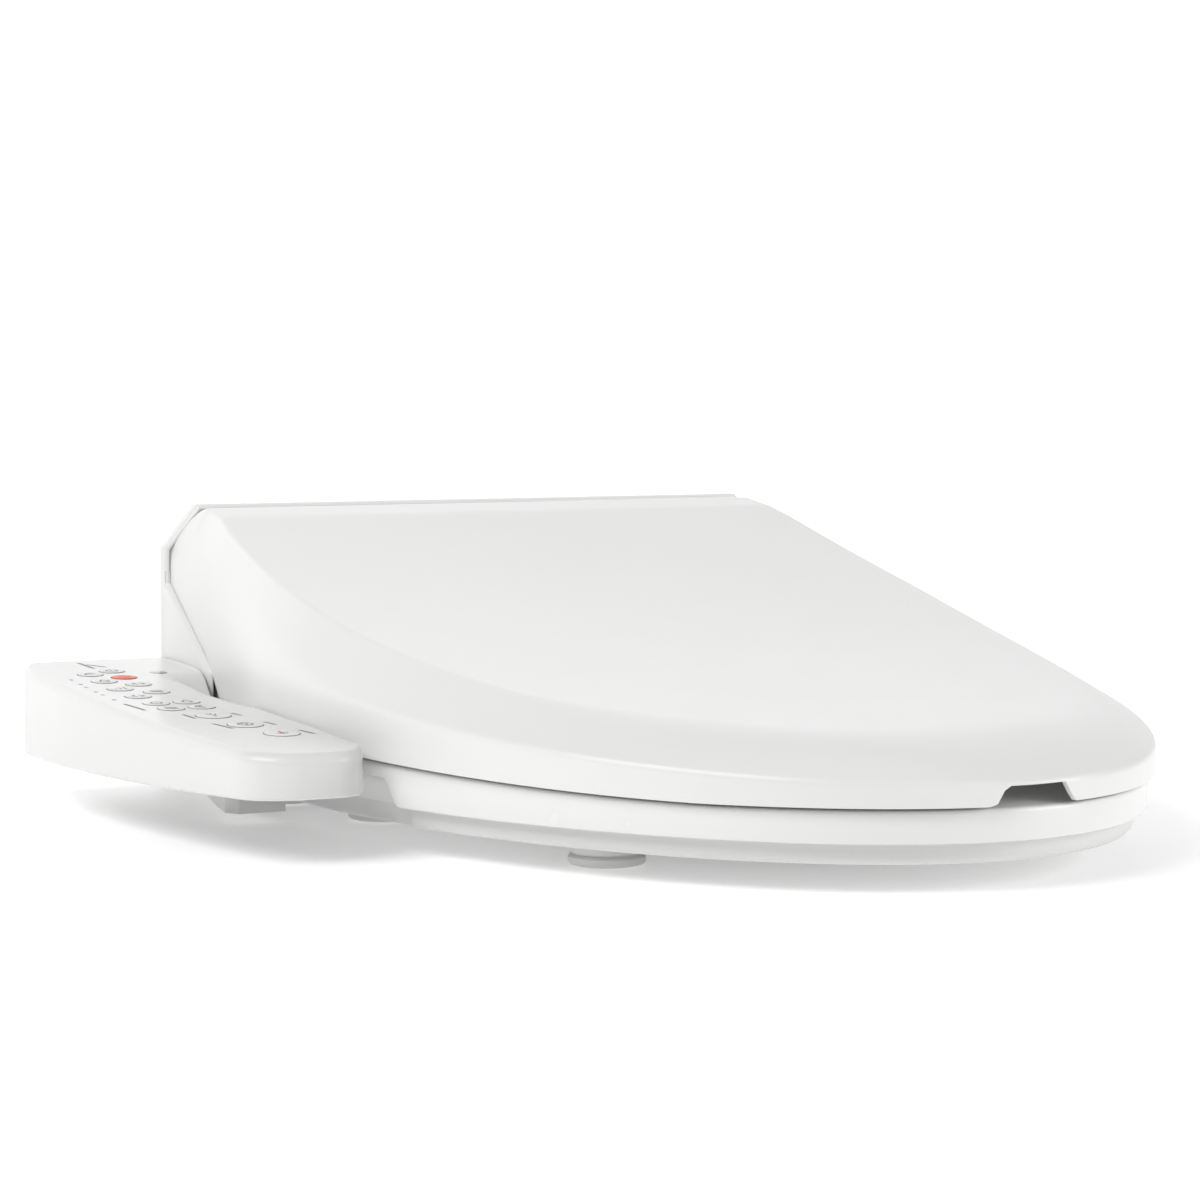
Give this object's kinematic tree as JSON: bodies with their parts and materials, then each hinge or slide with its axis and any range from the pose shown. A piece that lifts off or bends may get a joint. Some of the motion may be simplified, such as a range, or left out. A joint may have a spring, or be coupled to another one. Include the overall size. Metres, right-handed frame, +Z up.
{
  "type": "electric bidet seat",
  "caption": "Electric bidet seat with a sloping hinged lid, hinged seat ring, rear water and air housing, and a curved side control arm with push buttons.",
  "frame": {"origin": "midway between the two fixing bolts, on the plane of the bowl's rim", "axes": "+Z up, -Y towards the front tip of the seat, the control arm on the -X side"},
  "size_m": [0.47, 0.52, 0.147],
  "materials": {
    "white_shell": "glossy injection-moulded plastic",
    "lid_white": "glossy injection-moulded plastic",
    "seat_white": "glossy injection-moulded plastic",
    "key_white": "fine satin",
    "stop_red": "fine satin",
    "light_lens": "clear tinted lens",
    "dark_lens": "smoked lens",
    "inner_plastic": "moulded",
    "dark_plastic": "moulded",
    "grey_plastic": "moulded",
    "board_green": "circuit board",
    "steel": "brushed",
    "brass_fitting": "machined",
    "rubber_white": "soft matt",
    "heater_foil": "foil"
  },
  "bodies": {
    "base": {"base_tray": "white_shell", "rear_cover": "white_shell", "hood": "white_shell", "mounting_plate": "steel", "base_pads": "rubber_white", "case_screws": "steel", "drain_plug": "grey_plastic", "inlet_fitting": "brass_fitting", "inlet_screen": "steel", "inlet_valve": "inner_plastic", "cable_gland": "grey_plastic", "hinge_pins": "steel", "soft_close_dampers": "grey_plastic", "water_tank": "inner_plastic", "water_pump": "dark_plastic", "water_pipe": "inner_plastic", "diverter_valve": "dark_plastic", "nozzle_cradle": "inner_plastic", "nozzle_motors": "dark_plastic", "blower_case": "dark_plastic", "blower_motor": "dark_plastic", "dryer_duct": "inner_plastic", "dryer_grille": "inner_plastic", "main_board": "board_green", "power_supply": "dark_plastic", "deodoriser": "dark_plastic", "arm_cover": "white_shell", "arm_tray": "white_shell", "panel_board": "board_green", "key_switches": "dark_plastic", "panel_lights": "light_lens", "sensor_window": "dark_lens"},
    "seat": {"seat_top": "seat_white", "seat_bottom": "seat_white", "seat_heater": "heater_foil", "seat_brackets": "grey_plastic", "seat_bumpers": "rubber_white"},
    "lid": {"lid_shell": "lid_white", "lid_pads": "rubber_white"},
    "seat_heat_button": {"seat_heat_button": "key_white"},
    "water_heat_button": {"water_heat_button": "key_white"},
    "pressure_button": {"pressure_button": "key_white"},
    "nozzle_position_button": {"nozzle_position_button": "key_white"},
    "child_mode_button": {"child_mode_button": "key_white"},
    "energy_button": {"energy_button": "key_white"},
    "power_button": {"power_button": "key_white"},
    "stop_button": {"stop_button": "stop_red"},
    "oscillate_button": {"oscillate_button": "key_white"},
    "pulse_button": {"pulse_button": "key_white"},
    "nozzle_clean_button": {"nozzle_clean_button": "key_white"},
    "night_light_button": {"night_light_button": "key_white"},
    "rear_wash_button": {"rear_wash_button": "key_white"},
    "front_wash_button": {"front_wash_button": "key_white"},
    "dryer_button": {"dryer_button": "key_white"},
    "wash_nozzle": {"wash_nozzle": "steel", "wash_nozzle_tip": "inner_plastic"},
    "bidet_nozzle": {"bidet_nozzle": "steel", "bidet_nozzle_tip": "inner_plastic"},
    "blower_wheel": {"blower_wheel": "inner_plastic"},
    "release_button": {"release_button": "grey_plastic"}
  },
  "joints": [
    {"name": "seat_hinge", "type": "hinge", "parent": "base", "child": "seat", "pos_m": [0, 0.032, 0.132], "axis": [-1, 0, 0], "range_deg": [0, 95]},
    {"name": "lid_hinge", "type": "hinge", "parent": "seat", "child": "lid", "pos_m": [0, 0.032, 0.132], "axis": [1, 0, 0], "range_deg": [-100, 0]},
    {"name": "seat_heat_button_press", "type": "slide", "parent": "base", "child": "seat_heat_button", "axis": [0, 0.0599, -0.9982], "range_m": [0, 0.001], "stiffness_N_per_m": 600, "springref_m": -0.0006},
    {"name": "water_heat_button_press", "type": "slide", "parent": "base", "child": "water_heat_button", "axis": [0, 0.0599, -0.9982], "range_m": [0, 0.001], "stiffness_N_per_m": 600, "springref_m": -0.0006},
    {"name": "pressure_button_press", "type": "slide", "parent": "base", "child": "pressure_button", "axis": [0, 0.0599, -0.9982], "range_m": [0, 0.001], "stiffness_N_per_m": 600, "springref_m": -0.0006},
    {"name": "nozzle_position_button_press", "type": "slide", "parent": "base", "child": "nozzle_position_button", "axis": [0, 0.0599, -0.9982], "range_m": [0, 0.001], "stiffness_N_per_m": 600, "springref_m": -0.0006},
    {"name": "child_mode_button_press", "type": "slide", "parent": "base", "child": "child_mode_button", "axis": [0, 0.0599, -0.9982], "range_m": [0, 0.001], "stiffness_N_per_m": 600, "springref_m": -0.0006},
    {"name": "energy_button_press", "type": "slide", "parent": "base", "child": "energy_button", "axis": [0, 0.0599, -0.9982], "range_m": [0, 0.001], "stiffness_N_per_m": 600, "springref_m": -0.0006},
    {"name": "power_button_press", "type": "slide", "parent": "base", "child": "power_button", "axis": [0, 0.0599, -0.9982], "range_m": [0, 0.001], "stiffness_N_per_m": 600, "springref_m": -0.0006},
    {"name": "stop_button_press", "type": "slide", "parent": "base", "child": "stop_button", "axis": [0, 0.0599, -0.9982], "range_m": [0, 0.001], "stiffness_N_per_m": 600, "springref_m": -0.0006},
    {"name": "oscillate_button_press", "type": "slide", "parent": "base", "child": "oscillate_button", "axis": [0, 0.0599, -0.9982], "range_m": [0, 0.001], "stiffness_N_per_m": 600, "springref_m": -0.0006},
    {"name": "pulse_button_press", "type": "slide", "parent": "base", "child": "pulse_button", "axis": [0, 0.0599, -0.9982], "range_m": [0, 0.001], "stiffness_N_per_m": 600, "springref_m": -0.0006},
    {"name": "nozzle_clean_button_press", "type": "slide", "parent": "base", "child": "nozzle_clean_button", "axis": [0, 0.0599, -0.9982], "range_m": [0, 0.001], "stiffness_N_per_m": 600, "springref_m": -0.0006},
    {"name": "night_light_button_press", "type": "slide", "parent": "base", "child": "night_light_button", "axis": [0, 0.0599, -0.9982], "range_m": [0, 0.001], "stiffness_N_per_m": 600, "springref_m": -0.0006},
    {"name": "rear_wash_button_press", "type": "slide", "parent": "base", "child": "rear_wash_button", "axis": [0, 0.0599, -0.9982], "range_m": [0, 0.001], "stiffness_N_per_m": 600, "springref_m": -0.0006},
    {"name": "front_wash_button_press", "type": "slide", "parent": "base", "child": "front_wash_button", "axis": [0, 0.0599, -0.9982], "range_m": [0, 0.001], "stiffness_N_per_m": 600, "springref_m": -0.0006},
    {"name": "dryer_button_press", "type": "slide", "parent": "base", "child": "dryer_button", "axis": [0, 0.0599, -0.9982], "range_m": [0, 0.001], "stiffness_N_per_m": 600, "springref_m": -0.0006},
    {"name": "wash_nozzle_slide", "type": "slide", "parent": "base", "child": "wash_nozzle", "axis": [0, -0.866, -0.5], "range_m": [0, 0.065]},
    {"name": "bidet_nozzle_slide", "type": "slide", "parent": "base", "child": "bidet_nozzle", "axis": [0, -0.866, -0.5], "range_m": [0, 0.075]},
    {"name": "blower_spin", "type": "hinge", "parent": "base", "child": "blower_wheel", "pos_m": [0.075, 0, 0.064], "axis": [1, 0, 0], "continuous": true},
    {"name": "release_press", "type": "slide", "parent": "base", "child": "release_button", "axis": [-1, 0, 0], "range_m": [0, 0.003], "stiffness_N_per_m": 800, "springref_m": -0.001}
  ]
}
